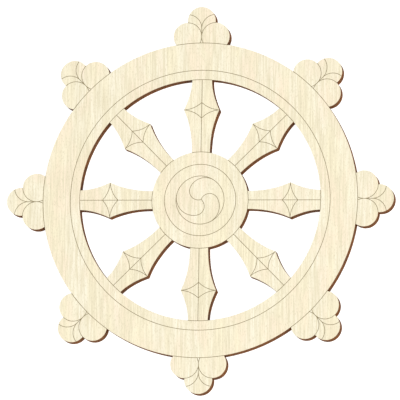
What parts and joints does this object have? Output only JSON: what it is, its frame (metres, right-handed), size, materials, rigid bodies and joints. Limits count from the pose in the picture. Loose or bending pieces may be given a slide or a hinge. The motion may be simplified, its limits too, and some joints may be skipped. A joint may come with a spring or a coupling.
{
  "type": "wooden dharma wheel",
  "caption": "Flat laser-cut plywood dharma wheel: ring, hub, shouldered spokes and trefoil finials cut as one sheet, with fine engraved lines.",
  "frame": {"origin": "centre of the hub, on the back face of the sheet", "axes": "+Z out of the engraved front face, +Y towards the top finial, +X towards the right finial seen from the front"},
  "size_m": [0.1, 0.1, 0.004],
  "materials": {
    "plywood": "pale sanded veneer, bare, with dark laser-charred cut edges"
  },
  "bodies": {
    "root": {"dharma_wheel": "plywood"}
  },
  "joints": []
}
